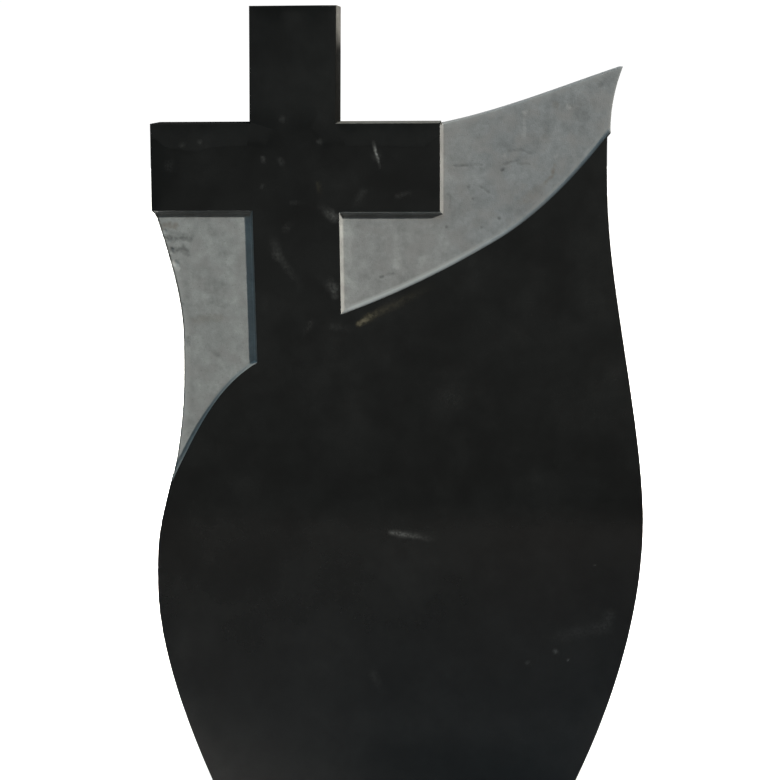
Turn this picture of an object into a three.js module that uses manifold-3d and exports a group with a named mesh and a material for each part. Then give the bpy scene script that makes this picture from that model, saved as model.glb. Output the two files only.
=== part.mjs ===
import * as THREE from 'three';
import Module from 'manifold-3d';

// A headstone cut in one piece from a slab of black granite. A Latin cross stands at
// its upper left and the body below swells like a vase. Both are polished and lie in one
// plane. Beside the cross, two panels are cut back to a lower, matt level: one under its
// left arm, and a wing that sweeps from its right arm up to a point.
// Millimetres. X runs to the right, Y into the stone and Z up, from the middle of the foot.

// Slab: a nominal 1000 by 600, with flanks that stand a little proud as cut
const HEIGHT = 1000;
const WIDTH = 601.5;
const THICKNESS = 65;
const ARRIS = 1.2;

// Cross: its axis and sizes, and where the hand-cut stone departs from a true cross.
// Above the crossbar the upright's sides lean a little.
const CROSS_AXIS_X = -119;
const UPRIGHT_WIDTH = 103.6;
const CROSSBAR_LENGTH = 343.2;
const CROSSBAR_TOP_Z = 865;
const UPRIGHT_TOP_LEFT_X = -169.5;
const UPRIGHT_TOP_RIGHT_X = -67.5;
const UPRIGHT_BASE_LEFT_X = -172;
const UPRIGHT_BASE_RIGHT_X = -69.5;
const LEFT_ARM_BASE = [-292.2, 762.5];
const RIGHT_ARM_BASE_Z = 760.5;
const STEM_FOOT_LEFT_X = -169;
const STEM_FOOT_RIGHT_X = -66.5;

// Panels: a sloping wall runs down from the polished face and ends in a cove
const PANEL_DEPTH = 6;
const WALL_SLOPE = THREE.MathUtils.degToRad(62);
const COVE_RADIUS = 2.5;
const COVE_STEPS = 3;

// Body: how wide the foot is, and how high the flanks are at their fullest
const FOOT_LEFT_X = -224.5;
const FOOT_RIGHT_X = 203.5;
const LEFT_BULGE_Z = 288;
const RIGHT_BULGE_Z = 372;

// Wing: its tip, and the small step where its edge meets the body's flank
const WING_TIP = [265, 928];
const WING_BASE_Z = 863;
const STEP_TOP = [252, 852];
const STEP_BASE = [248, 847];

// Where the body's shoulders leave the upright and where they run out at the flanks
const LEFT_SHOULDER_Z = 578.5;
const LEFT_SHOULDER_END = [-278, 430];
const RIGHT_SHOULDER_Z = 637.5;
const RIGHT_SHOULDER_END = [248.5, 850];

const CURVE_STEPS = 16;
const CUT_MARGIN = 40;

const FRONT_Y = -THICKNESS / 2;
const BACK_Y = THICKNESS / 2;
const UPRIGHT_LEFT_X = CROSS_AXIS_X - UPRIGHT_WIDTH / 2;
const UPRIGHT_RIGHT_X = CROSS_AXIS_X + UPRIGHT_WIDTH / 2;
const CROSSBAR_LEFT_X = CROSS_AXIS_X - CROSSBAR_LENGTH / 2;
const CROSSBAR_RIGHT_X = CROSS_AXIS_X + CROSSBAR_LENGTH / 2;

// The slab's outline in X and Z, anticlockwise as seen from the front.
function slabOutline() {
  const path = new THREE.Path();
  path.moveTo(FOOT_LEFT_X, 0);
  path.lineTo(FOOT_RIGHT_X, 0);

  // Right flank: out to the bulge, then in to a long narrow waist
  path.bezierCurveTo(259.2, 113, WIDTH / 2, 248, WIDTH / 2, RIGHT_BULGE_Z);
  path.bezierCurveTo(WIDTH / 2, 443, 283, 538, 271, 609);
  path.bezierCurveTo(255.3, 702, 248, 750, ...STEP_BASE);

  // Wing: a hollow right edge, the tip, and a top edge that falls to the crossbar
  path.lineTo(...STEP_TOP);
  path.bezierCurveTo(251.5, 878, 255.5, 903, ...WING_TIP);
  path.bezierCurveTo(194.5, 904.8, 124.5, 877, CROSSBAR_RIGHT_X, WING_BASE_Z);

  // Cross, from the end of its right arm to the base of its left arm
  path.lineTo(CROSSBAR_RIGHT_X, CROSSBAR_TOP_Z);
  path.lineTo(UPRIGHT_BASE_RIGHT_X, CROSSBAR_TOP_Z);
  path.lineTo(UPRIGHT_TOP_RIGHT_X, HEIGHT);
  path.lineTo(UPRIGHT_TOP_LEFT_X, HEIGHT);
  path.lineTo(UPRIGHT_BASE_LEFT_X, CROSSBAR_TOP_Z);
  path.lineTo(CROSSBAR_LEFT_X, CROSSBAR_TOP_Z);
  path.lineTo(...LEFT_ARM_BASE);

  // Left flank: a short slant, in to the waist, and out to the bulge
  path.lineTo(-287, 753.5);
  path.bezierCurveTo(-274, 709, -259.3, 658, -259.3, 612);
  path.bezierCurveTo(-259.3, 553.5, -262.6, 496.5, -277, 440);
  path.bezierCurveTo(-295, 372.5, -WIDTH / 2, 360, -WIDTH / 2, LEFT_BULGE_Z);
  path.bezierCurveTo(-WIDTH / 2, 196, -259.8, 83, FOOT_LEFT_X, 0);
  return withoutRepeats(path.getPoints(CURVE_STEPS));
}

// The panel under the crossbar's left arm: everything between the upright, the crossbar
// and the left shoulder, and on past the slab's outline.
function leftPanelOutline() {
  const path = new THREE.Path();
  path.moveTo(UPRIGHT_LEFT_X, LEFT_ARM_BASE[1]);
  path.lineTo(-WIDTH / 2 - CUT_MARGIN, LEFT_ARM_BASE[1]);
  path.lineTo(-WIDTH / 2 - CUT_MARGIN, LEFT_SHOULDER_END[1] - CUT_MARGIN);
  path.lineTo(LEFT_SHOULDER_END[0] - CUT_MARGIN / 2, LEFT_SHOULDER_END[1] - CUT_MARGIN);
  path.lineTo(...LEFT_SHOULDER_END);
  path.bezierCurveTo(-250, 483, -224, 546.5, STEM_FOOT_LEFT_X, LEFT_SHOULDER_Z);
  return withoutRepeats(path.getPoints(CURVE_STEPS));
}

// The panel that becomes the wing: between the upright, the crossbar's underside and end,
// and the right shoulder, and on past the slab's outline.
function wingPanelOutline() {
  const path = new THREE.Path();
  path.moveTo(UPRIGHT_RIGHT_X, RIGHT_ARM_BASE_Z);
  path.lineTo(STEM_FOOT_RIGHT_X, RIGHT_SHOULDER_Z);
  path.bezierCurveTo(-1.5, 661, 63, 692.5, 123, 729);
  path.bezierCurveTo(170, 758, 212.5, 802.5, ...RIGHT_SHOULDER_END);
  path.lineTo(RIGHT_SHOULDER_END[0] + CUT_MARGIN, RIGHT_SHOULDER_END[1] + CUT_MARGIN);
  path.lineTo(WIDTH / 2 + CUT_MARGIN, RIGHT_SHOULDER_END[1] + CUT_MARGIN);
  path.lineTo(WIDTH / 2 + CUT_MARGIN, HEIGHT);
  path.lineTo(CROSSBAR_RIGHT_X, HEIGHT);
  path.lineTo(CROSSBAR_RIGHT_X, RIGHT_ARM_BASE_Z);
  return withoutRepeats(path.getPoints(CURVE_STEPS));
}

function withoutRepeats(points) {
  return points.filter((point, i) => point.distanceTo(points.at(i - 1)) > 1e-6);
}

// Moves every side of an anticlockwise outline inwards, keeping the corners mitred.
function inset(points, distance) {
  return points.map((point, i) => {
    const incoming = point.clone().sub(points.at(i - 1)).normalize();
    const outgoing = points[(i + 1) % points.length].clone().sub(point).normalize();
    const normalIn = new THREE.Vector2(-incoming.y, incoming.x);
    const normalOut = new THREE.Vector2(-outgoing.y, outgoing.x);
    const mitre = normalIn.clone().add(normalOut).divideScalar(1 + normalIn.dot(normalOut));
    return point.clone().addScaledVector(mitre, distance);
  });
}

// A closed solid whose sections, from front to back, are the outline at each stated inset.
function solidFromSections(wasm, outline, sections) {
  const count = outline.length;
  const positions = [];
  const triangles = [];
  for (const { y, insetBy } of sections) {
    for (const point of inset(outline, insetBy)) positions.push(point.x, y, point.y);
  }
  for (let ring = 0; ring + 1 < sections.length; ring++) {
    for (let i = 0; i < count; i++) {
      const near = ring * count + i;
      const nearNext = ring * count + (i + 1) % count;
      triangles.push(near, near + count, nearNext + count);
      triangles.push(near, nearNext + count, nearNext);
    }
  }
  const lastRing = (sections.length - 1) * count;
  for (const [a, b, c] of THREE.ShapeUtils.triangulateShape(outline, [])) {
    triangles.push(a, b, c);
    triangles.push(lastRing + a, lastRing + c, lastRing + b);
  }
  return new wasm.Manifold(new wasm.Mesh({
    numProp: 3,
    vertProperties: new Float32Array(positions),
    triVerts: new Uint32Array(triangles),
  }));
}

// The slab itself, with a small arris round its front and its back.
function slabSections() {
  return [
    { y: FRONT_Y, insetBy: ARRIS },
    { y: FRONT_Y + ARRIS, insetBy: 0 },
    { y: BACK_Y - ARRIS, insetBy: 0 },
    { y: BACK_Y, insetBy: ARRIS },
  ];
}

// What is cut away for a panel: straight down the sloping wall, then round the cove,
// which meets the wall and the flat floor without a corner. It starts clear of the face.
function panelSections() {
  const coveDrop = COVE_RADIUS * (1 - Math.cos(WALL_SLOPE));
  const wallDepth = PANEL_DEPTH - coveDrop;
  const wallRun = wallDepth / Math.tan(WALL_SLOPE);
  const clearance = 1;
  const sections = [{ y: FRONT_Y - clearance, insetBy: -clearance / Math.tan(WALL_SLOPE) }];
  for (let step = 0; step <= COVE_STEPS; step++) {
    const slope = WALL_SLOPE * (1 - step / COVE_STEPS);
    sections.push({
      y: FRONT_Y + PANEL_DEPTH - COVE_RADIUS * (1 - Math.cos(slope)),
      insetBy: wallRun + COVE_RADIUS * (Math.sin(WALL_SLOPE) - Math.sin(slope)),
    });
  }
  return sections;
}

function blackGranite() {
  return new THREE.MeshStandardMaterial({ color: 0x1e201f, roughness: 0.12, metalness: 0 });
}

const wasm = await Module();
wasm.setup();

const slab = solidFromSections(wasm, slabOutline(), slabSections());
const leftPanel = solidFromSections(wasm, leftPanelOutline(), panelSections());
const wingPanel = solidFromSections(wasm, wingPanelOutline(), panelSections());
const carved = slab.subtract(leftPanel).subtract(wingPanel).getMesh();

const geometry = new THREE.BufferGeometry();
geometry.setAttribute('position', new THREE.BufferAttribute(carved.vertProperties, 3));
geometry.setIndex(new THREE.BufferAttribute(carved.triVerts, 1));

const headstone = new THREE.Mesh(geometry.toNonIndexed(), blackGranite());
headstone.geometry.computeVertexNormals();
headstone.name = 'headstone_slab';

const group = new THREE.Group();
group.add(headstone);

export default group;
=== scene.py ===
import math

import bpy
import numpy as np
from mathutils import Matrix, Vector, noise
from mathutils.geometry import delaunay_2d_cdt


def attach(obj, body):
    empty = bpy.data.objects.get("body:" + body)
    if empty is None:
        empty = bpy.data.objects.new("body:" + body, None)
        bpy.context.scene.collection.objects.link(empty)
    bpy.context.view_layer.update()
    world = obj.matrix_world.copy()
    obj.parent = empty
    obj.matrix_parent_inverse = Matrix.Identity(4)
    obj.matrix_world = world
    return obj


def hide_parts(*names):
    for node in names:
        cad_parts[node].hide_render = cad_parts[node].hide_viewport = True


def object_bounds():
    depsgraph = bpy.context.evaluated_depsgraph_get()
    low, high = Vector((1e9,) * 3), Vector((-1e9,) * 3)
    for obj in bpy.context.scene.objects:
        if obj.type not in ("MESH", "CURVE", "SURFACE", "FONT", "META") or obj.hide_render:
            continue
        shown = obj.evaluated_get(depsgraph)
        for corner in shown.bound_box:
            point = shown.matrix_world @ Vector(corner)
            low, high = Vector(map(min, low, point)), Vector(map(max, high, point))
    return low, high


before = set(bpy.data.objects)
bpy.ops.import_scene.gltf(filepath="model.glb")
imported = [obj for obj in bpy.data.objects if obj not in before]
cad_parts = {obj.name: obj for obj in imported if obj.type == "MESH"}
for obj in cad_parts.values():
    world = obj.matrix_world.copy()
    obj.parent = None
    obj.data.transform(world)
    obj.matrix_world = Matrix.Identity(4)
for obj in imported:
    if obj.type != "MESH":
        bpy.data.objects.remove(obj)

# A headstone cut in one piece from a slab of black granite: a polished cross and a polished
# body, with two matt grey panels cut back beside the cross.
# Metres. X runs to the right, Y into the stone and Z up, from the middle of the foot.

CAD_LOW, CAD_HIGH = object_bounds()
FRONT_Y = CAD_LOW.y
BACK_Y = CAD_HIGH.y
HALF_WIDTH = CAD_HIGH.x
HEIGHT = CAD_HIGH.z

# Outline, with the same named sizes as the part's source
ARRIS = 0.0012
CROSS_AXIS_X = -0.119
UPRIGHT_WIDTH = 0.1036
CROSSBAR_LENGTH = 0.3432
CROSSBAR_TOP_Z = 0.865
UPRIGHT_TOP_LEFT_X = -0.1695
UPRIGHT_TOP_RIGHT_X = -0.0675
UPRIGHT_BASE_LEFT_X = -0.172
UPRIGHT_BASE_RIGHT_X = -0.0695
LEFT_ARM_BASE = (-0.2922, 0.7625)
RIGHT_ARM_BASE_Z = 0.7605
STEM_FOOT_LEFT_X = -0.169
STEM_FOOT_RIGHT_X = -0.0665
FOOT_LEFT_X = -0.2245
FOOT_RIGHT_X = 0.2035
LEFT_BULGE_Z = 0.288
RIGHT_BULGE_Z = 0.372
WING_TIP = (0.265, 0.928)
WING_BASE_Z = 0.863
STEP_TOP = (0.252, 0.852)
STEP_BASE = (0.248, 0.847)
LEFT_SHOULDER_Z = 0.5785
LEFT_SHOULDER_END = (-0.278, 0.430)
RIGHT_SHOULDER_Z = 0.6375
RIGHT_SHOULDER_END = (0.2485, 0.850)
CUT_MARGIN = 0.040

UPRIGHT_LEFT_X = CROSS_AXIS_X - UPRIGHT_WIDTH / 2
UPRIGHT_RIGHT_X = CROSS_AXIS_X + UPRIGHT_WIDTH / 2
CROSSBAR_LEFT_X = CROSS_AXIS_X - CROSSBAR_LENGTH / 2
CROSSBAR_RIGHT_X = CROSS_AXIS_X + CROSSBAR_LENGTH / 2

# Panels: a sloping wall, a cove at its foot, and a floor that is nearly flat
PANEL_DEPTH = 0.006
WALL_SLOPE = math.radians(62)
COVE_RADIUS = 0.0025
COVE_STEPS = 6
FLOOR_FADE = 0.012
FLOOR_WAVES = ((0.070, 0.00016), (0.016, 0.00005), (0.005, 0.00002))

# Mesh steps, and how near to a line the points of a grid may come, in steps of that grid
OUTLINE_STEP = 0.002
PANEL_STEP = 0.004
FLOOR_STEP = 0.0014
FACE_STEP = 0.030
FLOOR_CLEARANCE = 0.6
FACE_CLEARANCE = 1 / 3
ARRIS_STEPS = 3
SHARP_ANGLE = math.radians(32)

# Marks on the panels: strokes in X and Z with a half width and a strength.
# Dark ones are also cut in a little, and their darkness is partly painted shade inside the scratches, pits
# and gouges; rusty ones stain the stone.
GOUGE_DEPTH = 0.00035
DARK_MARKS = (
    # Tool marks and scratches of the wing
    ((0.0689, 0.8146), (0.0843, 0.8146), 0.0011, 0.75),
    ((0.0878, 0.8151), (0.1008, 0.8151), 0.0010, 0.40),
    ((0.1278, 0.8162), (0.1443, 0.8196), 0.0011, 0.55),
    ((0.1443, 0.8161), (0.1572, 0.8161), 0.0011, 0.45),
    ((0.1336, 0.8313), (0.1465, 0.8325), 0.0010, 0.40),
    ((0.1465, 0.8325), (0.1594, 0.8282), 0.0010, 0.40),
    ((0.0643, 0.7799), (0.0643, 0.7646), 0.0010, 0.40),
    ((0.0997, 0.7904), (0.1104, 0.7822), 0.0010, 0.45),
    ((-0.0196, 0.6822), (-0.0160, 0.6830), 0.0011, 0.80),
    ((-0.0120, 0.6842), (-0.0039, 0.6870), 0.0011, 0.55),
    # Pits
    ((0.1267, 0.8092), (0.1270, 0.8092), 0.0015, 1.00),
    ((0.0855, 0.7893), (0.0857, 0.7893), 0.0013, 0.60),
    ((0.0909, 0.7751), (0.0911, 0.7751), 0.0013, 0.60),
    ((0.1218, 0.7526), (0.1220, 0.7526), 0.0014, 0.80),
    ((0.1017, 0.7420), (0.1019, 0.7420), 0.0013, 0.60),
    ((0.0595, 0.7420), (0.0597, 0.7420), 0.0013, 0.60),
    ((0.0625, 0.7811), (0.0627, 0.7811), 0.0013, 0.60),
    ((0.2398, 0.9071), (0.2400, 0.9071), 0.0020, 0.45),
    # Darker patches near the tip
    ((0.2080, 0.8880), (0.2310, 0.8830), 0.0050, 0.28),
    ((0.2120, 0.8740), (0.2200, 0.8700), 0.0045, 0.32),
    ((0.1772, 0.8613), (0.1773, 0.8498), 0.0030, 0.30),
    ((0.2198, 0.8542), (0.2210, 0.8542), 0.0040, 0.30),
    # Gouges at the left panel's outer edge
    ((-0.2730, 0.7365), (-0.2585, 0.7329), 0.0020, 0.40),
    ((-0.2757, 0.7292), (-0.2479, 0.7280), 0.0026, 0.75),
    ((-0.2585, 0.7329), (-0.2490, 0.7292), 0.0020, 0.45),
    ((-0.2726, 0.7135), (-0.2591, 0.7148), 0.0022, 0.80),
    ((-0.2560, 0.7155), (-0.2520, 0.7123), 0.0028, 0.75),
    # Darker patches of the left panel
    ((-0.2244, 0.7412), (-0.2240, 0.7400), 0.0045, 0.25),
    ((-0.2118, 0.7184), (-0.2122, 0.7130), 0.0045, 0.25),
    ((-0.2431, 0.6845), (-0.2385, 0.6800), 0.0026, 0.35),
    ((-0.2250, 0.6700), (-0.2130, 0.6690), 0.0065, 0.34),
    ((-0.2240, 0.6520), (-0.2130, 0.6500), 0.0050, 0.30),
    ((-0.2575, 0.6560), (-0.2570, 0.6440), 0.0035, 0.30),
    ((-0.2552, 0.6063), (-0.2554, 0.5989), 0.0024, 0.75),
    ((-0.2190, 0.5867), (-0.2188, 0.5867), 0.0026, 0.30),
)
LIGHT_MARKS = (
    ((0.1519, 0.8753), (0.1521, 0.8753), 0.0022, 0.60),
    ((0.1513, 0.8673), (0.1515, 0.8475), 0.0016, 0.35),
    ((0.2028, 0.8820), (0.2030, 0.8820), 0.0022, 0.55),
    ((0.1899, 0.8253), (0.1901, 0.8253), 0.0022, 0.40),
    ((0.1278, 0.8255), (0.1280, 0.8255), 0.0020, 0.40),
    ((0.0003, 0.6966), (0.0010, 0.7010), 0.0034, 0.75),
    ((0.0000, 0.7060), (-0.0001, 0.7302), 0.0024, 0.40),
    ((-0.0551, 0.7350), (-0.0555, 0.6930), 0.0018, 0.40),
    ((0.0315, 0.7026), (0.0320, 0.7040), 0.0030, 0.40),
    ((0.0417, 0.7444), (0.0420, 0.7444), 0.0020, 0.35),
    ((0.0579, 0.7158), (0.0590, 0.7180), 0.0030, 0.35),
    ((-0.2157, 0.5742), (-0.2157, 0.5790), 0.0022, 0.45),
    ((-0.2644, 0.6930), (-0.2664, 0.7000), 0.0024, 1.60),
)
RUST_MARKS = (
    ((0.1877, 0.8148), (0.1850, 0.8020), 0.0014, 0.80),
    ((0.1850, 0.8020), (0.1769, 0.7938), 0.0014, 0.80),
    ((0.1704, 0.7879), (0.1553, 0.7738), 0.0040, 0.35),
    ((0.1466, 0.7715), (0.1470, 0.7715), 0.0025, 0.35),
    ((0.1880, 0.8832), (0.1884, 0.8832), 0.0030, 0.45),
    ((-0.2801, 0.7436), (-0.2640, 0.7436), 0.0026, 0.75),
    ((-0.2450, 0.6310), (-0.2130, 0.6325), 0.0035, 0.40),
)

# Chips out of the left panel's outer edge: place, reach, depth and how fresh the break looks
CHIPS = (
    ((-0.2664, 0.6985), 0.0042, 0.0012, 1.00),
    ((-0.2715, 0.7145), 0.0040, 0.0009, 0.20),
    ((-0.2755, 0.7265), 0.0040, 0.0009, 0.15),
    ((-0.2785, 0.7370), 0.0035, 0.0008, 0.25),
    ((-0.2606, 0.6480), 0.0035, 0.0007, 0.10),
    ((-0.2592, 0.6040), 0.0040, 0.0008, 0.05),
)

# Camera: where it stands, how it is turned, and how long its lens is
CAMERA_PLACE = Vector((0.0989, -1.9777, 0.9343))
CAMERA_YAW = math.atan(0.055)
CAMERA_PITCH = math.atan(0.1997)
CAMERA_ROLL = math.radians(-0.38)
PICTURE_WIDTH = 780
FOCAL_LENGTH_IN_PIXELS = 1640
SENSOR_WIDTH = 36


def trace(start, *moves, step):
    """A closed loop of points `step` apart, along straight moves (one point) and curves (three)."""
    points = [np.array([start], float)]
    for move in moves:
        layers = [points[-1][-1], *np.array(move, float)]
        length = sum(np.linalg.norm(b - a) for a, b in zip(layers, layers[1:]))
        t = np.linspace(0, 1, max(1, round(length / step)) + 1)[1:, None]
        while len(layers) > 1:
            layers = [a + (b - a) * t for a, b in zip(layers, layers[1:])]
        points.append(layers[0])
    return np.vstack(points)[:-1]


def slab_outline():
    start = (FOOT_LEFT_X, 0)
    return trace(
        start,
        [(FOOT_RIGHT_X, 0)],
        [(0.2592, 0.113), (HALF_WIDTH, 0.248), (HALF_WIDTH, RIGHT_BULGE_Z)],
        [(HALF_WIDTH, 0.443), (0.283, 0.538), (0.271, 0.609)],
        [(0.2553, 0.702), (0.248, 0.750), STEP_BASE],
        [STEP_TOP],
        [(0.2515, 0.878), (0.2555, 0.903), WING_TIP],
        [(0.1945, 0.9048), (0.1245, 0.877), (CROSSBAR_RIGHT_X, WING_BASE_Z)],
        [(CROSSBAR_RIGHT_X, CROSSBAR_TOP_Z)],
        [(UPRIGHT_BASE_RIGHT_X, CROSSBAR_TOP_Z)],
        [(UPRIGHT_TOP_RIGHT_X, HEIGHT)],
        [(UPRIGHT_TOP_LEFT_X, HEIGHT)],
        [(UPRIGHT_BASE_LEFT_X, CROSSBAR_TOP_Z)],
        [(CROSSBAR_LEFT_X, CROSSBAR_TOP_Z)],
        [LEFT_ARM_BASE],
        [(-0.287, 0.7535)],
        [(-0.274, 0.709), (-0.2593, 0.658), (-0.2593, 0.612)],
        [(-0.2593, 0.5535), (-0.2626, 0.4965), (-0.277, 0.440)],
        [(-0.295, 0.3725), (-HALF_WIDTH, 0.360), (-HALF_WIDTH, LEFT_BULGE_Z)],
        [(-HALF_WIDTH, 0.196), (-0.2598, 0.083), start],
        step=OUTLINE_STEP,
    )


def left_panel_outline():
    start = (UPRIGHT_LEFT_X, LEFT_ARM_BASE[1])
    clear_x = -HALF_WIDTH - CUT_MARGIN
    clear_z = LEFT_SHOULDER_END[1] - CUT_MARGIN
    return trace(
        start,
        [(clear_x, LEFT_ARM_BASE[1])],
        [(clear_x, clear_z)],
        [(LEFT_SHOULDER_END[0] - CUT_MARGIN / 2, clear_z)],
        [LEFT_SHOULDER_END],
        [(-0.250, 0.483), (-0.224, 0.5465), (STEM_FOOT_LEFT_X, LEFT_SHOULDER_Z)],
        [start],
        step=PANEL_STEP,
    )


def wing_panel_outline():
    start = (UPRIGHT_RIGHT_X, RIGHT_ARM_BASE_Z)
    end_x, end_z = RIGHT_SHOULDER_END
    return trace(
        start,
        [(STEM_FOOT_RIGHT_X, RIGHT_SHOULDER_Z)],
        [(-0.0015, 0.661), (0.063, 0.6925), (0.123, 0.729)],
        [(0.170, 0.758), (0.2125, 0.8025), RIGHT_SHOULDER_END],
        [(end_x + CUT_MARGIN, end_z + CUT_MARGIN)],
        [(HALF_WIDTH + CUT_MARGIN, end_z + CUT_MARGIN)],
        [(HALF_WIDTH + CUT_MARGIN, HEIGHT)],
        [(CROSSBAR_RIGHT_X, HEIGHT)],
        [(CROSSBAR_RIGHT_X, RIGHT_ARM_BASE_Z)],
        [start],
        step=PANEL_STEP,
    )


def gap(points, loop):
    """Distance of each point from a closed loop."""
    nearest = np.full(len(points), np.inf)
    for start, end in zip(loop, np.roll(loop, -1, axis=0)):
        nearest = np.minimum(nearest, distance_to_stroke(points, start, end))
    return nearest


def distance_to_stroke(points, start, end):
    """Distance of each point from the straight stroke between start and end."""
    start, along = np.array(start), np.subtract(end, start)
    t = np.clip((points - start) @ along / max(along @ along, 1e-12), 0, 1)
    return np.linalg.norm(points - start - t[:, None] * along, axis=1)


def inside(points, loop):
    x, z = points.T
    within = np.zeros(len(points), bool)
    for (x0, z0), (x1, z1) in zip(loop, np.roll(loop, -1, axis=0)):
        if z0 != z1:
            crossed = x < x0 + (z - z0) / (z1 - z0) * (x1 - x0)
            within ^= crossed & ((z0 > z) != (z1 > z))
    return within


def mitred(loop, distance):
    """Every point of an anticlockwise loop moved inwards, keeping the corners mitred."""
    incoming = loop - np.roll(loop, 1, axis=0)
    incoming /= np.linalg.norm(incoming, axis=1)[:, None]
    outgoing = np.roll(incoming, -1, axis=0)
    normal_in = np.column_stack([-incoming[:, 1], incoming[:, 0]])
    normal_out = np.column_stack([-outgoing[:, 1], outgoing[:, 0]])
    turn = 1 + (normal_in * normal_out).sum(axis=1)
    return loop + (normal_in + normal_out) / turn[:, None] * distance


def inset(loop, distance):
    """The loop moved inwards, without the points that fold over at its inner corners."""
    moved = mitred(loop, distance)
    return moved[gap(moved, loop) > distance * 0.999 - 1e-6]


def smooth(value):
    value = np.clip(value, 0, 1)
    return value * value * (3 - 2 * value)


def uneven(points, size, octaves=3, level=0.0):
    """Smooth noise between about -1 and 1, whose largest features are `size` across."""
    places = [Vector((x / size, z / size, level)) for x, z in points]
    return np.array([noise.fractal(place, 1.0, 2.0, octaves) for place in places])


def wall_profile():
    """How far in and how deep a panel's wall and cove are, from the face down to the floor."""
    wall_depth = PANEL_DEPTH - COVE_RADIUS * (1 - math.cos(WALL_SLOPE))
    wall_run = wall_depth / math.tan(WALL_SLOPE)
    slopes = np.linspace(WALL_SLOPE, 0, COVE_STEPS + 1)
    insets = wall_run + COVE_RADIUS * (math.sin(WALL_SLOPE) - np.sin(slopes))
    depths = PANEL_DEPTH - COVE_RADIUS * (1 - np.cos(slopes))
    return np.r_[0, insets], np.r_[0, depths]


class Sheet:
    """Points in X and Z with a depth each, and the lines that a triangulation keeps."""

    def __init__(self):
        self.points = []
        self.depths = []
        self.lines = []

    def add(self, points, depth=np.nan):
        self.points += [Vector(point) for point in points]
        self.depths += [depth] * len(points)

    def add_loop(self, loop, depth=np.nan):
        first = len(self.points)
        self.add(loop, depth)
        count = len(loop)
        self.lines += [(first + i, first + (i + 1) % count) for i in range(count)]

    def triangulated(self, border):
        """Points, depths, sources and anticlockwise triangles within the border.

        A point's source is its number in this sheet, or -1 where two lines cross."""
        made = delaunay_2d_cdt(self.points, self.lines, [], 0, 1e-7)
        points = np.array([tuple(point) for point in made[0]])
        triangles = np.array(made[2])
        sources = np.array([given[0] if given else -1 for given in made[3]])
        depths = np.where(sources < 0, np.nan, np.array(self.depths)[sources])
        a, b, c = (points[triangles[:, k]] for k in range(3))
        area = np.cross(b - a, c - a)
        triangles[area < 0] = triangles[area < 0][:, ::-1]
        kept = inside((a + b + c) / 3, border) & (np.abs(area) > 1e-12)
        triangles = triangles[kept]
        used, triangles = np.unique(triangles, return_inverse=True)
        return points[used], depths[used], sources[used], triangles.reshape(-1, 3)


def grid(low, high, step, seed):
    """Staggered rows of points, each moved a little so that no rows show."""
    rows = np.arange(low[1], high[1], step * math.sqrt(3) / 2)
    columns = np.arange(low[0], high[0], step)
    x, z = np.meshgrid(columns, rows)
    x = x + step / 2 * (np.arange(len(rows)) % 2)[:, None]
    points = np.column_stack([x.ravel(), z.ravel()])
    return points + np.random.default_rng(seed).uniform(-0.15, 0.15, points.shape) * step


def border_of(triangles):
    """The single closed chain of points round the triangles, anticlockwise."""
    sides = {tuple(side) for k in range(3) for side in np.roll(triangles, -k, axis=1)[:, :2].tolist()}
    following = {a: b for a, b in sides if (b, a) not in sides}
    chain = [min(following)]
    while following[chain[-1]] != chain[0]:
        chain.append(following[chain[-1]])
    assert len(chain) == len(following), "the front has more than one border"
    return np.array(chain)


def front_sheet(outline, panels):
    """The whole front: polished face, walls, coves and panel floors."""
    rim = inset(outline, ARRIS)
    insets, depths = wall_profile()
    sheet = Sheet()
    sheet.add_loop(rim)
    for panel in panels:
        for distance, depth in zip(insets, depths):
            sheet.add_loop(inset(panel, distance), depth)
        floor = grid(panel.min(axis=0), panel.max(axis=0), FLOOR_STEP, seed=4)
        floor = floor[inside(floor, panel) & inside(floor, rim)]
        clearance = FLOOR_STEP * FLOOR_CLEARANCE
        floor = floor[gap(floor, panel) > insets[-1] + clearance]
        sheet.add(floor[gap(floor, rim) > clearance], PANEL_DEPTH)
    face = grid(rim.min(axis=0), rim.max(axis=0), FACE_STEP, seed=5)
    for loop in (rim, *panels):
        face = face[gap(face, loop) > FACE_STEP * FACE_CLEARANCE]
    for panel in panels:
        face = face[~inside(face, panel)]
    sheet.add(face, 0.0)

    points, depth, _, triangles = sheet.triangulated(rim)
    unknown = np.isnan(depth)
    found = np.zeros(unknown.sum())
    for panel in panels:
        place = points[unknown]
        found += inside(place, panel) * np.interp(gap(place, panel), insets, depths)
    depth[unknown] = found
    return points, depth, triangles


def mark_strength(points, marks):
    """How strongly each point is marked by a set of patchy strokes with soft, uneven sides."""
    fine, coarse = (
        np.column_stack([uneven(points, size, level=3.1), uneven(points, size, level=8.7)])
        for size in (0.005, 0.014)
    )
    strength = np.zeros(len(points))
    for start, end, half_width, amount in marks:
        moved = points + fine * min(half_width, 0.0022) + coarse * half_width * 0.6
        reach = 1 - distance_to_stroke(moved, start, end) / (half_width * 2.2)
        strength = np.maximum(strength, smooth(reach * 1.3) * amount)
    patches = 0.8 + 0.55 * uneven(points, 0.0035, octaves=2, level=1.7)
    return strength * np.clip(patches, 0.25, 1.2)


outline = slab_outline()
panels = [left_panel_outline(), wing_panel_outline()]
points, depth, triangles = front_sheet(outline, panels)
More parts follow.
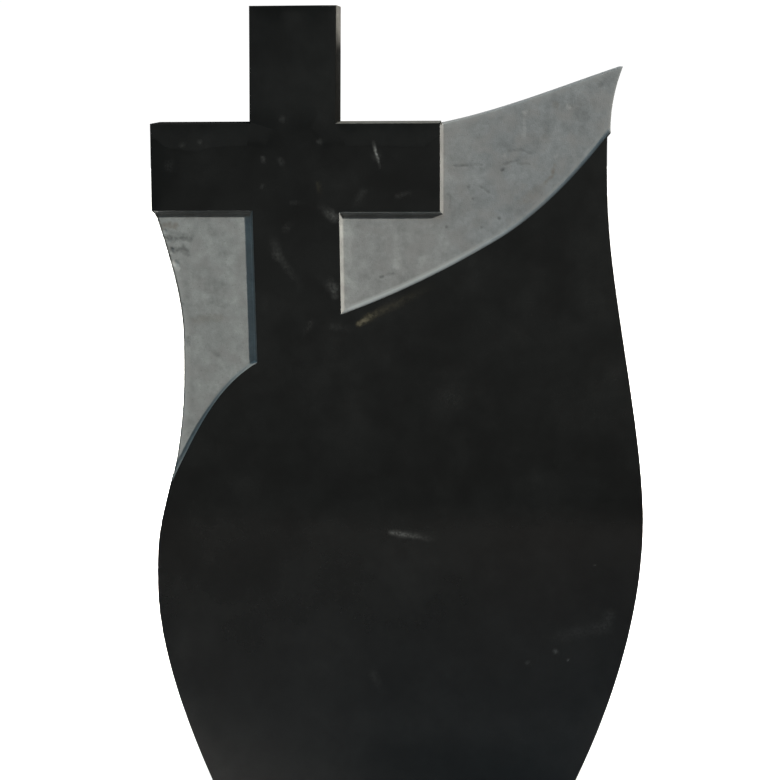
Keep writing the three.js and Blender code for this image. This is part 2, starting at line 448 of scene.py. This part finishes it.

# Floors: how much each point belongs to a panel's floor, and its gentle waves.
# It is a little darker where the cove meets the floor, and the cove itself has a paler band painted in as
# a highlight.
COVE_DARK_REACH = 0.0016
COVE_HIGHLIGHT_REACH = 0.0030
COVE_HIGHLIGHT_SHIFT = 0.0006
wall_run = wall_profile()[0][-1]
in_panel = np.zeros(len(points), bool)
floor_weight = np.zeros(len(points))
cove_darkening = np.zeros(len(points))
cove_highlight = np.zeros(len(points))
for panel in panels:
    within = inside(points, panel)
    beyond_wall = gap(points[within], panel) - wall_run
    in_panel |= within
    floor_weight[within] = smooth(beyond_wall / FLOOR_FADE)
    cove_darkening[within] = smooth(1 - np.abs(beyond_wall) / COVE_DARK_REACH)
    cove_highlight[within] = smooth(1.2 - np.abs(beyond_wall + COVE_HIGHLIGHT_SHIFT) / COVE_HIGHLIGHT_REACH)
for level, (size, height) in enumerate(FLOOR_WAVES):
    depth += floor_weight * height * uneven(points, size, level=level * 7.3)

# Marks, kept as attributes of the mesh as well as in its depth
# The dark marks' darkness is partly painted shade inside scratches, pits and gouges; the darker patches
# are tone
dark_marks_and_shade = mark_strength(points, DARK_MARKS) * in_panel
light = mark_strength(points, LIGHT_MARKS) * in_panel
rust = mark_strength(points, RUST_MARKS) * in_panel
depth += floor_weight * GOUGE_DEPTH * dark_marks_and_shade

# Chips: deepest at the outline, with a ragged inner side
fresh = np.zeros(len(points))
ragged = 1 + 0.35 * uneven(points, 0.003, level=5.2)
for place, reach, chip_depth, freshness in CHIPS:
    away = np.linalg.norm(points - place, axis=1) / (reach * ragged)
    depth += chip_depth * smooth(1.25 - away)
    fresh = np.maximum(fresh, smooth((1.1 - away) * 2.0) * freshness)
fresh *= in_panel

# Darker where the coves meet the floors, and a dark line along the left panel's outer edge, most of it
# high up
RIM_DARK_WIDTH = 0.0012
RIM_DARK_LOW_Z = 0.62
RIM_DARK_FADE = 0.04
ARM_CLEARANCE = 0.006
x, z = points.T
on_left = x < UPRIGHT_LEFT_X
rim_gap = gap(points, inset(outline, ARRIS))
left_rim = in_panel & on_left & (z < LEFT_ARM_BASE[1] - ARM_CLEARANCE)
rim_darkening = smooth(1.3 - rim_gap / RIM_DARK_WIDTH) * left_rim * (1 - fresh)
rim_darkening *= np.clip(0.9 + 0.5 * uneven(points, 0.012, level=6.1), 0.2, 1.2)
rim_darkening *= 0.3 + 0.7 * smooth((z - RIM_DARK_LOW_Z) / RIM_DARK_FADE)
darkening = np.maximum(cove_darkening * 0.08, rim_darkening * 0.85)

# Painted highlight: the cove along the wing's shoulder is made paler, most in its lower half, clear of the
# cross
HIGHLIGHT_CLEARANCE = 0.012
HIGHLIGHT_LEFT_X = -0.062
HIGHLIGHT_RIGHT_X = 0.150
below_arm = z < RIGHT_ARM_BASE_Z - HIGHLIGHT_CLEARANCE
beside_arm = x > CROSSBAR_RIGHT_X + HIGHLIGHT_CLEARANCE
shoulder_highlight = 0.30 + 0.70 * smooth((HIGHLIGHT_RIGHT_X - x) / 0.120)
shoulder_highlight *= smooth((x - HIGHLIGHT_LEFT_X) / 0.010) * (below_arm | beside_arm)
light = np.maximum(light, cove_highlight * shoulder_highlight * 1.05)

# Panel rims: rubbed paler, except where the left panel's edge is gouged
RUBBED_RIM_WIDTH = 0.010
GOUGED_LOW_Z = 0.700
left_paleness = np.where(z > GOUGED_LOW_Z, 0.08, 0.55)
rim_paleness = np.where(on_left, left_paleness, 0.2)
light = np.maximum(light, smooth(1 - rim_gap / RUBBED_RIM_WIDTH) * in_panel * rim_paleness)

border = border_of(triangles)


def headstone_mesh():
    """Front sheet, rounded arris, sides, rounded back arris and back, welded into one skin."""
    count = len(border)
    rim = points[border]
    front_y = FRONT_Y + depth[border]
    rings = []
    for turn in np.linspace(0, math.pi / 2, ARRIS_STEPS + 1)[1:]:
        outward = ARRIS * math.sin(turn)
        rings.append((mitred(rim, -outward), front_y + ARRIS * (1 - math.cos(turn))))
    for turn in np.linspace(math.pi / 2, 0, ARRIS_STEPS + 1):
        outward = ARRIS * math.sin(turn)
        rings.append((mitred(rim, -outward), np.full(count, BACK_Y - ARRIS * (1 - math.cos(turn)))))

    vertices = [np.column_stack([points[:, 0], FRONT_Y + depth, points[:, 1]])]
    vertices += [np.column_stack([ring[:, 0], y, ring[:, 1]]) for ring, y in rings]
    faces = triangles.tolist()
    near, first = border, len(points)
    for _ in rings:
        far = first + np.arange(count)
        faces += np.column_stack([near, far, np.roll(far, -1), np.roll(near, -1)]).tolist()
        near, first = far, first + count

    back = Sheet()
    back.add_loop(rim)
    spread = grid(rim.min(axis=0), rim.max(axis=0), FACE_STEP, seed=6)
    back.add(spread[inside(spread, rim) & (gap(spread, rim) > FACE_STEP * FACE_CLEARANCE)])
    back_points, _, sources, back_triangles = back.triangulated(rim)
    assert (sources >= 0).all(), "the back's border crosses itself"
    numbers = np.where(sources < count, near[0] + sources, first + sources - count)
    faces += numbers[back_triangles][:, ::-1].tolist()
    extra = back_points[sources >= count][np.argsort(sources[sources >= count])]
    vertices.append(np.column_stack([extra[:, 0], np.full(len(extra), BACK_Y), extra[:, 1]]))

    mesh = bpy.data.meshes.new("headstone")
    mesh.from_pydata(np.vstack(vertices).tolist(), [], faces)
    mesh.validate()
    mesh.update()
    return mesh


mesh = headstone_mesh()
mesh.polygons.foreach_set("use_smooth", [True] * len(mesh.polygons))
mesh.set_sharp_from_angle(angle=SHARP_ANGLE)
stains_and_painted_light = {"dark_marks_and_shade": dark_marks_and_shade, "light": light, "rust": rust, "fresh": fresh, "darkening": darkening}
for name, values in stains_and_painted_light.items():
    attribute = mesh.attributes.new(name, "FLOAT", "POINT")
    padded = np.zeros(len(mesh.vertices), np.float32)
    padded[:len(values)] = values
    attribute.data.foreach_set("value", padded)

headstone = bpy.data.objects.new("headstone", mesh)
bpy.context.scene.collection.objects.link(headstone)
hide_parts("headstone_slab")
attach(headstone, "root")


# Smears and the painted highlight: the least length that counts, how far their soft sides reach in half
# widths and how fast they fade, how ragged they are, and how deep behind the face they still show
SHORTEST_STROKE = 0.0001
STROKE_REACH = 3
STROKE_FALLOFF = 1.6
RAGGED_SIZE = 0.00625
RAGGEDNESS = 0.0030
FACE_MARK_DEPTH = 0.003


class Nodes:
    """Short calls for a tree's nodes. Inputs are numbers or other nodes' outputs."""

    def __init__(self, tree):
        self.tree = tree

    def link(self, output, socket):
        self.tree.links.new(output, socket)

    def node(self, kind, inputs=(), **settings):
        made = self.tree.nodes.new(kind)
        for setting, value in settings.items():
            setattr(made, setting, value)
        for socket, value in dict(inputs).items():
            if isinstance(value, bpy.types.NodeSocket):
                self.link(value, made.inputs[socket])
            else:
                made.inputs[socket].default_value = value
        return made

    def math(self, operation, a, b=0.0):
        return self.node("ShaderNodeMath", {0: a, 1: b}, operation=operation).outputs[0]

    def product(self, result, *factors):
        for factor in factors:
            result = self.math("MULTIPLY", result, factor)
        return result

    def vector(self, operation, a, b=(0, 0, 0), output=0):
        return self.node("ShaderNodeVectorMath", {0: a, 1: b}, operation=operation).outputs[output]

    def split(self, vector):
        """The parts of a vector, named X, Y and Z."""
        return self.node("ShaderNodeSeparateXYZ", {0: vector}).outputs

    def grey(self, value):
        return self.node("ShaderNodeCombineColor", {0: value, 1: value, 2: value}).outputs[0]

    def ramp(self, value, low, high, start=0.0, end=1.0):
        """From start to end, smoothly, while the value goes from low to high."""
        inputs = {"Value": value, 1: low, 2: high, 3: start, 4: end}
        return self.node("ShaderNodeMapRange", inputs, interpolation_type="SMOOTHSTEP").outputs[0]

    def mix(self, amount, a, b, blend="MIX"):
        inputs = {0: amount, 6: a, 7: b}
        return self.node("ShaderNodeMix", inputs, data_type="RGBA", blend_type=blend).outputs[2]


class Stone(Nodes):
    """A stone's material, whose patterns lie in the stone's own coordinates."""

    def __init__(self, name, specular=0.5):
        self.material = bpy.data.materials.new(name)
        self.material.use_nodes = True
        super().__init__(self.material.node_tree)
        self.shader = self.tree.nodes["Principled BSDF"]
        self.shader.inputs["Specular IOR Level"].default_value = specular
        self.place = self.node("ShaderNodeTexCoord").outputs["Object"]

    def facing(self):
        """The parts of the direction in which the surface faces, without its bumps."""
        return self.split(self.node("ShaderNodeNewGeometry").outputs["True Normal"])

    def noise(self, size, detail=3.0, roughness=0.5, stretch=(1, 1, 1), shift=0.0):
        scale = tuple(1 / (size * s) for s in stretch)
        place = self.vector("MULTIPLY", self.place, scale)
        place = self.vector("ADD", place, (shift, shift, shift))
        inputs = {"Vector": place, "Scale": 1.0, "Detail": detail, "Roughness": roughness}
        return self.node("ShaderNodeTexNoise", inputs).outputs["Fac"]

    def grains(self, size):
        """Distance from the middle of the nearest of many grains, in grain sizes."""
        inputs = {"Vector": self.place, "Scale": 1 / size}
        return self.node("ShaderNodeTexVoronoi", inputs).outputs["Distance"]

    def attribute(self, name):
        return self.node("ShaderNodeAttribute", attribute_name=name).outputs["Fac"]

    def stroke(self, start, end, half_width, warp):
        """1 at the start of a stroke in X and Z, fading to its end and softly to its sides."""
        start = Vector((start[0], 0, start[1]))
        along = Vector((end[0], 0, end[1])) - start
        away = self.vector("SUBTRACT", warp, start)
        length = max(along.length, SHORTEST_STROKE)
        t = self.vector("DOT_PRODUCT", away, along / length ** 2, output=1)
        t = self.node("ShaderNodeClamp", {0: t}).outputs[0]
        foot = self.node("ShaderNodeVectorMath", {0: along, 3: t}, operation="SCALE").outputs[0]
        distance = self.vector("LENGTH", self.vector("SUBTRACT", away, foot), output=1)
        across = self.ramp(distance, half_width * STROKE_REACH, 0.0)
        across = self.math("POWER", across, STROKE_FALLOFF)
        return self.product(across, self.ramp(t, 0.2, 1.0, 1.0, 0.1))

    def finish(self, color, roughness, height=None, depth=0.0):
        self.link(color, self.shader.inputs["Base Color"])
        self.link(roughness, self.shader.inputs["Roughness"])
        if height is not None:
            bump = self.node("ShaderNodeBump", {"Height": height, "Distance": depth, "Strength": 1.0})
            self.link(bump.outputs[0], self.shader.inputs["Normal"])
        return self.material


# Smears, scuffs and spots of lime on the polished face, and one painted highlight: strokes in X and Z that
# fade from start to end, with a half width, a strength and a colour
PALE = (0.55, 0.55, 0.52, 1)
YELLOWISH = (0.42, 0.36, 0.22, 1)
WARM_DUST = (0.56, 0.46, 0.42, 1)
POLISHED_MARKS = (
    # The first two strokes, running up and down from one bright core, are a painted highlight on the
    # cross's right arm
    ((-0.0222, 0.8287), (-0.0259, 0.8433), 0.0011, 0.300, PALE),
    ((-0.0222, 0.8287), (-0.0182, 0.8124), 0.0011, 0.220, PALE),
    ((-0.0222, 0.8264), (-0.0216, 0.8334), 0.0034, 0.035, PALE),
    ((-0.1420, 0.7082), (-0.1484, 0.7381), 0.0040, 0.030, PALE),
    ((-0.1419, 0.7106), (-0.1143, 0.6697), 0.0030, 0.034, PALE),
    ((-0.0731, 0.7541), (-0.0887, 0.7666), 0.0036, 0.095, PALE),
    ((-0.0751, 0.6697), (-0.0876, 0.6806), 0.0042, 0.050, PALE),
    ((-0.0735, 0.6600), (-0.0756, 0.6794), 0.0028, 0.050, PALE),
    ((-0.1566, 0.8245), (-0.1568, 0.8163), 0.0018, 0.060, PALE),
    ((-0.1574, 0.7910), (-0.1563, 0.7904), 0.0022, 0.042, PALE),
    ((-0.1366, 0.8221), (-0.1308, 0.8127), 0.0024, 0.030, PALE),
    ((-0.0900, 0.8430), (-0.0840, 0.8453), 0.0022, 0.045, PALE),
    ((-0.0919, 0.7938), (-0.0886, 0.7784), 0.0022, 0.035, YELLOWISH),
    ((-0.1244, 0.7718), (-0.1042, 0.7717), 0.0016, 0.020, PALE),
    ((-0.1310, 0.7405), (-0.1225, 0.7488), 0.0030, 0.020, PALE),
    ((-0.0376, 0.7842), (-0.0518, 0.7653), 0.0030, 0.022, PALE),
    ((0.0024, 0.7794), (0.0230, 0.7852), 0.0020, 0.030, PALE),
    ((-0.2529, 0.8401), (-0.2506, 0.8366), 0.0022, 0.030, PALE),
    ((-0.2313, 0.8436), (-0.2302, 0.8400), 0.0018, 0.034, PALE),
    ((-0.2692, 0.8167), (-0.2684, 0.8049), 0.0040, 0.018, PALE),
    ((-0.1333, 0.8694), (-0.1285, 0.8699), 0.0024, 0.030, PALE),
    ((-0.0449, 0.6261), (-0.0195, 0.6432), 0.0022, 0.260, YELLOWISH),
    ((-0.0364, 0.6322), (0.0429, 0.6722), 0.0034, 0.060, YELLOWISH),
    ((-0.1029, 0.6272), (-0.1141, 0.6101), 0.0024, 0.020, PALE),
    ((-0.0776, 0.6224), (-0.0535, 0.6200), 0.0028, 0.020, PALE),
    ((-0.0081, 0.3662), (0.0449, 0.3571), 0.0020, 0.120, PALE),
    ((0.0030, 0.3644), (0.0474, 0.3622), 0.0030, 0.030, PALE),
    ((0.0670, 0.5333), (0.0791, 0.5086), 0.0160, 0.008, PALE),
    ((0.2624, 0.2628), (0.2529, 0.2458), 0.0050, 0.036, PALE),
    ((0.2553, 0.2471), (0.2185, 0.2389), 0.0060, 0.034, PALE),
    ((0.2209, 0.2389), (0.1778, 0.2266), 0.0052, 0.026, PALE),
    ((0.1959, 0.2144), (0.1991, 0.2112), 0.0020, 0.140, PALE),
    ((0.2123, 0.2032), (0.2128, 0.2028), 0.0014, 0.170, PALE),
    ((0.1619, 0.1988), (0.1632, 0.1975), 0.0020, 0.080, PALE),
    ((0.2426, 0.3261), (0.2428, 0.3257), 0.0014, 0.090, PALE),
    ((-0.0310, 0.1816), (-0.0207, 0.1578), 0.0034, 0.022, PALE),
)


def polished_stone():
    """Mirror-polished black granite: fine lighter crystals, faint clouds, dust, smears and a painted
    highlight.
    """
    stone = Stone("polished_granite")
    clouds = stone.ramp(stone.noise(0.060, detail=4, roughness=0.6), 0.3, 0.7, 0.75, 1.25)
    grains = stone.ramp(stone.grains(0.0011), 0.28, 0.10)
    crystals = stone.product(grains, stone.ramp(stone.noise(0.0035), 0.45, 0.62))
    glints = stone.ramp(stone.grains(0.0026), 0.10, 0.04)
    color = stone.mix(crystals, (0.0080, 0.0086, 0.0083, 1), (0.0160, 0.0163, 0.0153, 1))
    color = stone.mix(glints, color, (0.028, 0.028, 0.026, 1))
    color = stone.mix(1.0, color, stone.grey(clouds), blend="MULTIPLY")

    # Smears and the painted highlight: ragged, worn through in places, and only on the face
    flat = stone.vector("MULTIPLY", stone.place, (1, 0, 1))
    ragged = stone.node("ShaderNodeTexNoise", {"Vector": flat, "Scale": 1 / RAGGED_SIZE})
    offset = stone.vector("SUBTRACT", ragged.outputs["Color"], (0.5, 0.5, 0.5))
    warp = stone.vector("ADD", flat, stone.vector("MULTIPLY", offset, (RAGGEDNESS, 0, RAGGEDNESS)))
    worn = stone.ramp(stone.noise(0.0035, detail=5, roughness=0.75), 0.31, 0.67, 0.22, 1.25)
    inward = stone.split(stone.place)["Y"]
    on_face = stone.ramp(inward, FRONT_Y + 2 * FACE_MARK_DEPTH, FRONT_Y + FACE_MARK_DEPTH)
    worn = stone.product(worn, on_face)
    haze = stone.ramp(stone.noise(0.07, detail=5, roughness=0.65, shift=4.0), 0.45, 0.8, 0.0, 0.010)
    dust_smears_and_highlight = haze
    for start, end, half_width, strength, tint in POLISHED_MARKS:
        mark = stone.product(stone.stroke(start, end, half_width, warp), strength, worn)
        color = stone.mix(mark, color, tint)
        dust_smears_and_highlight = stone.math("ADD", dust_smears_and_highlight, mark)
    color = stone.mix(haze, color, PALE)

    # A film of dust on the lower body, thicker towards the foot and the right flank
    place = stone.split(warp)
    below_waist = stone.ramp(place["Z"], 0.41, 0.36)
    footward = stone.ramp(place["Z"], 0.33, 0.12, 0.6, 1.2)
    rightward = stone.ramp(place["X"], -0.02, 0.24, 0.0160, 0.0330)
    color = stone.mix(stone.product(below_waist, footward, rightward), color, WARM_DUST)
    roughness = stone.math("ADD", 0.07, stone.product(dust_smears_and_highlight, 2.0))
    return stone.finish(color, roughness)


def tooled_stone():
    """The matt panels: mid grey, cloudy, finely grained, scratched and here and there stained, with
    painted highlights and painted shade on the walls, and a painted highlight in the wing's shoulder cove.
    """
    stone = Stone("tooled_granite", specular=0.25)
    place = stone.split(stone.place)

    # Each part's grey: the wing towards its tip, the wing beside the stem, and the left panel
    color = stone.mix(
        stone.ramp(place["X"], 0.02, 0.13), (0.259, 0.260, 0.252, 1), (0.225, 0.235, 0.237, 1),
    )
    color = stone.mix(stone.ramp(place["X"], -0.040, -0.062), color, (0.325, 0.330, 0.318, 1))
    color = stone.mix(stone.ramp(place["X"], -0.16, -0.19), color, (0.277, 0.284, 0.274, 1))

    # Clouds and grain: size, detail, contrast and shift. The last and finest is also relief.
    layers = (
        (0.034, 4, 0.66, 0.0), (0.013, 4, 0.68, 7.0), (0.0046, 3, 0.32, 3.0), (0.0014, 2, 0.20, 1.0),
    )
    for size, detail, contrast, shift in layers:
        pattern = stone.noise(size, detail=detail, roughness=0.6, shift=shift)
        factor = stone.math("ADD", stone.product(pattern, contrast), 1 - contrast / 2)
        color = stone.mix(1.0, color, stone.grey(factor), blend="MULTIPLY")
    warm = stone.ramp(stone.noise(0.022, detail=3, shift=12.0), 0.42, 0.66, 0.0, 0.55)
    color = stone.mix(warm, color, (0.250, 0.244, 0.236, 1))
    specks = stone.product(stone.ramp(stone.grains(0.0042), 0.16, 0.06), 0.5)
    color = stone.mix(specks, color, (0.10, 0.10, 0.095, 1))

    # Walls: painted light and shade, a tone each by the way they face, how deep they lie and where they
    # are
    depth = stone.math("SUBTRACT", place["Y"], FRONT_Y)
    facing = stone.facing()
    upward = stone.ramp(facing["Z"], 0.2, 0.45)
    # Painted highlight: right-facing walls made paler near the face
    right_wall_highlight = stone.product(
        stone.ramp(facing["X"], 0.3, 0.7), stone.ramp(depth, 0.0016, 0.0002), 0.2,
    )
    color = stone.mix(right_wall_highlight, color, (0.33, 0.335, 0.32, 1))
    # Painted highlight: a pale line along the top of the down-facing walls under the right arm
    under_arm_highlight = stone.product(
        stone.ramp(facing["Z"], -0.3, -0.6),
        stone.ramp(depth, 0.0022, 0.0006),
        stone.ramp(place["X"], -0.15, -0.05, 0.0, 0.8),
    )
    color = stone.mix(under_arm_highlight, color, (0.55, 0.55, 0.53, 1))
    # Painted highlight: the up-facing walls of the left shoulder made paler near the face
    left_shoulder_highlight = stone.product(
        upward, stone.ramp(depth, 0.0034, 0.0014), stone.ramp(place["X"], -0.165, -0.185, 0.0, 0.45),
    )
    color = stone.mix(left_shoulder_highlight, color, (0.42, 0.43, 0.41, 1))
    # Painted shade: the up-facing walls of the right shoulder made darker near the face
    right_shoulder_shade = stone.product(
        upward, stone.ramp(depth, 0.0040, 0.0004), stone.ramp(place["X"], -0.20, -0.05, 0.0, 0.65),
    )
    color = stone.mix(right_shoulder_shade, color, (0.050, 0.052, 0.052, 1))
    # Painted shade: left-facing walls and the walls under the left arm made dark
    left_wall_shade = stone.product(stone.ramp(facing["X"], -0.80, -0.86), 0.45)
    under_arm_shade = stone.product(
        stone.ramp(facing["Z"], -0.3, -0.7), stone.ramp(place["X"], -0.10, -0.15, 0.1, 0.5),
    )
    shaded = stone.math("MAXIMUM", left_wall_shade, under_arm_shade)
    color = stone.mix(shaded, color, (0.070, 0.073, 0.072, 1))

    # Marks from the mesh: the dark marks are partly painted shade in scratches, pits and gouges, and the
    # pale marks include the painted highlight of the wing's shoulder cove
    tints = (
        ("dark_marks_and_shade", 0.80, (0.080, 0.083, 0.079, 1)),
        ("rust", 0.55, (0.135, 0.098, 0.066, 1)),
        ("light", 0.80, (0.400, 0.402, 0.388, 1)),
        ("darkening", 1.00, (0.020, 0.020, 0.018, 1)),
        ("fresh", 1.00, (0.380, 0.385, 0.375, 1)),
    )
    for name, amount, tint in tints:
        color = stone.mix(stone.product(stone.attribute(name), amount), color, tint)
    roughness = stone.ramp(stone.noise(0.008), 0.2, 0.8, 0.62, 0.85)
    return stone.finish(color, roughness, pattern, 0.00022)


def rubbed_stone():
    """The cross's sides and every arris: a dull black, greyed by dust on the ledges, and made paler near
    the top of the upright's right side as a painted reflection.
    """
    stone = Stone("rubbed_granite", specular=0.0)
    clouds = stone.noise(0.030, detail=5, roughness=0.6)
    grains = stone.ramp(stone.grains(0.0012), 0.30, 0.08, 0.0, 0.5)
    color = stone.mix(clouds, (0.0080, 0.0082, 0.0080, 1), (0.0150, 0.0150, 0.0142, 1))
    color = stone.mix(grains, color, (0.024, 0.024, 0.022, 1))

    # Dust on ledges to the right of the stem, and a painted reflection: the upright's right side made
    # paler near its top
    dust_and_reflection_patches = stone.ramp(stone.noise(0.006, detail=4, roughness=0.6, shift=2.0), 0.25, 0.7, 0.6, 1.0)
    facing = stone.facing()
    place = stone.split(stone.place)
    ledges = stone.product(stone.ramp(facing["Z"], 0.15, 0.5), stone.ramp(place["X"], -0.09, -0.065))
    wander = stone.product(stone.math("SUBTRACT", clouds, 0.5), 0.03)
    top_end = stone.ramp(stone.math("ADD", place["Z"], wander), 0.945, 0.978)
    side_reflection = stone.product(stone.ramp(facing["X"], 0.8, 0.95), top_end)
    dust_and_reflection = stone.product(stone.math("MAXIMUM", ledges, side_reflection), dust_and_reflection_patches)
    color = stone.mix(dust_and_reflection, color, (0.140, 0.137, 0.126, 1))

    color = stone.mix(stone.attribute("fresh"), color, (0.30, 0.305, 0.295, 1))
    roughness = stone.ramp(clouds, 0.2, 0.8, 0.5, 0.65)
    lines = stone.noise(0.0006, detail=2, stretch=(30, 1, 30), shift=5.0)
    return stone.finish(color, roughness, lines, 0.00004)


def sawn_stone():
    """The back and the foot: left from the saw, dark grey with fine arcs."""
    stone = Stone("sawn_granite", specular=0.2)
    saw_centre = (2.4, 0, -1.7)
    radius = stone.vector("LENGTH", stone.vector("SUBTRACT", stone.place, saw_centre), output=1)
    radius = stone.math("ADD", radius, stone.product(stone.noise(0.05, shift=9.0), 0.004))
    arcs = stone.node("ShaderNodeCombineXYZ", {0: radius, 1: 0.0, 2: 0.0}).outputs[0]
    fine, broad = (
        stone.node("ShaderNodeTexNoise", {"Vector": arcs, "Scale": scale, "Detail": detail}).outputs["Fac"]
        for scale, detail in ((900.0, 3.0), (110.0, 2.0))
    )
    ridges = stone.math("ADD", stone.product(broad, 0.7), stone.product(fine, 0.3))
    grains = stone.ramp(stone.grains(0.0018), 0.35, 0.1, 0.0, 0.5)
    color = stone.mix(stone.ramp(ridges, 0.35, 0.65), (0.070, 0.072, 0.069, 1), (0.098, 0.100, 0.096, 1))
    color = stone.mix(grains, color, (0.14, 0.142, 0.136, 1))
    clouds = stone.ramp(stone.noise(0.09, detail=5, roughness=0.6), 0.3, 0.75, 0.0, 0.35)
    color = stone.mix(clouds, color, (0.060, 0.062, 0.060, 1))
    roughness = stone.ramp(fine, 0.3, 0.7, 0.55, 0.75)
    return stone.finish(color, roughness, ridges, 0.0002)


POLISHED, TOOLED, RUBBED, SAWN = range(4)
for make in (polished_stone, tooled_stone, rubbed_stone, sawn_stone):
    mesh.materials.append(make())


def face_kinds():
    """Which stone each face shows. The front sheet's faces come first in the mesh."""
    count = len(mesh.polygons)
    centres = np.empty(count * 3)
    normals = np.empty(count * 3)
    mesh.polygons.foreach_get("center", centres)
    mesh.polygons.foreach_get("normal", normals)
    x, _, z = centres.reshape(-1, 3).T
    _, backward, upward = normals.reshape(-1, 3).T
    kinds = np.full(count, RUBBED)
    body_top_z = np.where(x < 0, LEFT_ARM_BASE[1], STEP_BASE[1])
    kinds[(np.abs(backward) < 0.1) & (z < body_top_z)] = POLISHED
    kinds[(backward > 0.9) | (upward < -0.9) & (z < ARRIS)] = SAWN
    kinds[(x > CROSSBAR_RIGHT_X + ARRIS) & (z > STEP_TOP[1]) & (backward < 0.1)] = TOOLED
    front = np.column_stack([x, z])[:len(triangles)]
    in_panels = inside(front, panels[0]) | inside(front, panels[1])
    kinds[:len(triangles)] = np.where(in_panels, TOOLED, POLISHED)
    return kinds


mesh.polygons.foreach_set("material_index", face_kinds().astype(np.int32))


def add_camera():
    yaw, pitch, roll = CAMERA_YAW, CAMERA_PITCH, CAMERA_ROLL
    level_part = math.cos(pitch)
    forward = Vector((-math.sin(yaw) * level_part, math.cos(yaw) * level_part, -math.sin(pitch)))
    level = Vector((math.cos(yaw), math.sin(yaw), 0))
    upward = level.cross(forward)
    right = math.cos(roll) * level + math.sin(roll) * upward
    up = math.cos(roll) * upward - math.sin(roll) * level
    camera = bpy.data.objects.new("camera", bpy.data.cameras.new("camera"))
    camera.data.sensor_width = SENSOR_WIDTH
    camera.data.lens = SENSOR_WIDTH * FOCAL_LENGTH_IN_PIXELS / PICTURE_WIDTH
    turn = Matrix([right, up, -forward]).transposed().to_4x4()
    camera.matrix_world = Matrix.Translation(CAMERA_PLACE) @ turn
    bpy.context.scene.collection.objects.link(camera)
    bpy.context.scene.camera = camera


add_camera()


def add_light(name, kind, place, target, energy, color=(1, 1, 1), **settings):
    light = bpy.data.lights.new(name, kind)
    light.energy = energy
    light.color = color
    for setting, value in settings.items():
        setattr(light, setting, value)
    lamp = bpy.data.objects.new(name, light)
    lamp.location = place
    lamp.rotation_mode = "QUATERNION"
    lamp.rotation_quaternion = (Vector(target) - Vector(place)).to_track_quat("-Z", "Y")
    bpy.context.scene.collection.objects.link(lamp)


# Studio: a warm key from the upper right, a cool panel high on the left, and overhead panels
# over the floor: one far in front, which the polish mirrors, and two that whiten it behind
KEY_DIRECTION = Vector((0.695, -0.411, 0.588))
KEY_TARGET = Vector((0, 0, 0.72))
KEY_DISTANCE = 10
add_light(
    "key", "SPOT", KEY_TARGET + KEY_DIRECTION * KEY_DISTANCE, KEY_TARGET, 5650,
    color=(1.0, 0.965, 0.895), spot_size=math.radians(6.1), spot_blend=0.35, shadow_soft_size=0.2,
)
add_light(
    "cool_panel", "AREA", (-1.5, -2.1, 3.85), (0, 0, 0.7), 1.75,
    color=(0.30, 0.71, 1.0), size=1.0, spread=math.radians(40),
)
add_light(
    "front_panel", "AREA", (3.5, -11, 5), (3.5, -11, 0), 95,
    shape="RECTANGLE", size=12, size_y=20, spread=math.radians(60),
)
add_light(
    "back_panel", "AREA", (0, 9, 4), (0, 9, 0), 1300,
    shape="RECTANGLE", size=13, size_y=11, spread=math.radians(90),
)
add_light(
    "near_panel", "AREA", (0, 0.95, 2.2), (0, 1.75, 0), 370,
    shape="RECTANGLE", size=4.5, size_y=1.6, spread=math.radians(80),
)

floor_mesh = bpy.data.meshes.new("floor")
floor_mesh.from_pydata([(-14, -30, 0), (14, -30, 0), (14, 13, 0), (-14, 13, 0)], [], [(0, 1, 2, 3)])
floor = bpy.data.objects.new("floor", floor_mesh)
pale = bpy.data.materials.new("pale_floor")
pale.use_nodes = True
pale.node_tree.nodes["Principled BSDF"].inputs["Base Color"].default_value = (0.80, 0.78, 0.75, 1)
pale.node_tree.nodes["Principled BSDF"].inputs["Roughness"].default_value = 0.8
floor_mesh.materials.append(pale)
bpy.context.scene.collection.objects.link(floor)

WHITE_WORLD = (1.05, 1.05, 1.05, 1)
HORIZON_WORLD = (0.155, 0.158, 0.152, 1)
DIM_WORLD = (0.050, 0.052, 0.051, 1)


def set_world():
    """White low behind the stone, dim towards the other horizons, and darker overhead."""
    world = bpy.data.worlds.new("studio")
    world.use_nodes = True
    bpy.context.scene.world = world
    sky = Nodes(world.node_tree)
    direction = sky.split(sky.node("ShaderNodeTexCoord").outputs["Generated"])
    behind_and_low = sky.product(
        sky.ramp(direction["Y"], 0.1, 0.7), sky.ramp(direction["Z"], 0.35, 0.12),
    )
    around = sky.mix(sky.ramp(direction["Z"], 0.30, 0.05), DIM_WORLD, HORIZON_WORLD)
    color = sky.mix(behind_and_low, around, WHITE_WORLD)
    sky.link(color, world.node_tree.nodes["Background"].inputs["Color"])


set_world()
bpy.context.scene.view_settings.view_transform = "Standard"
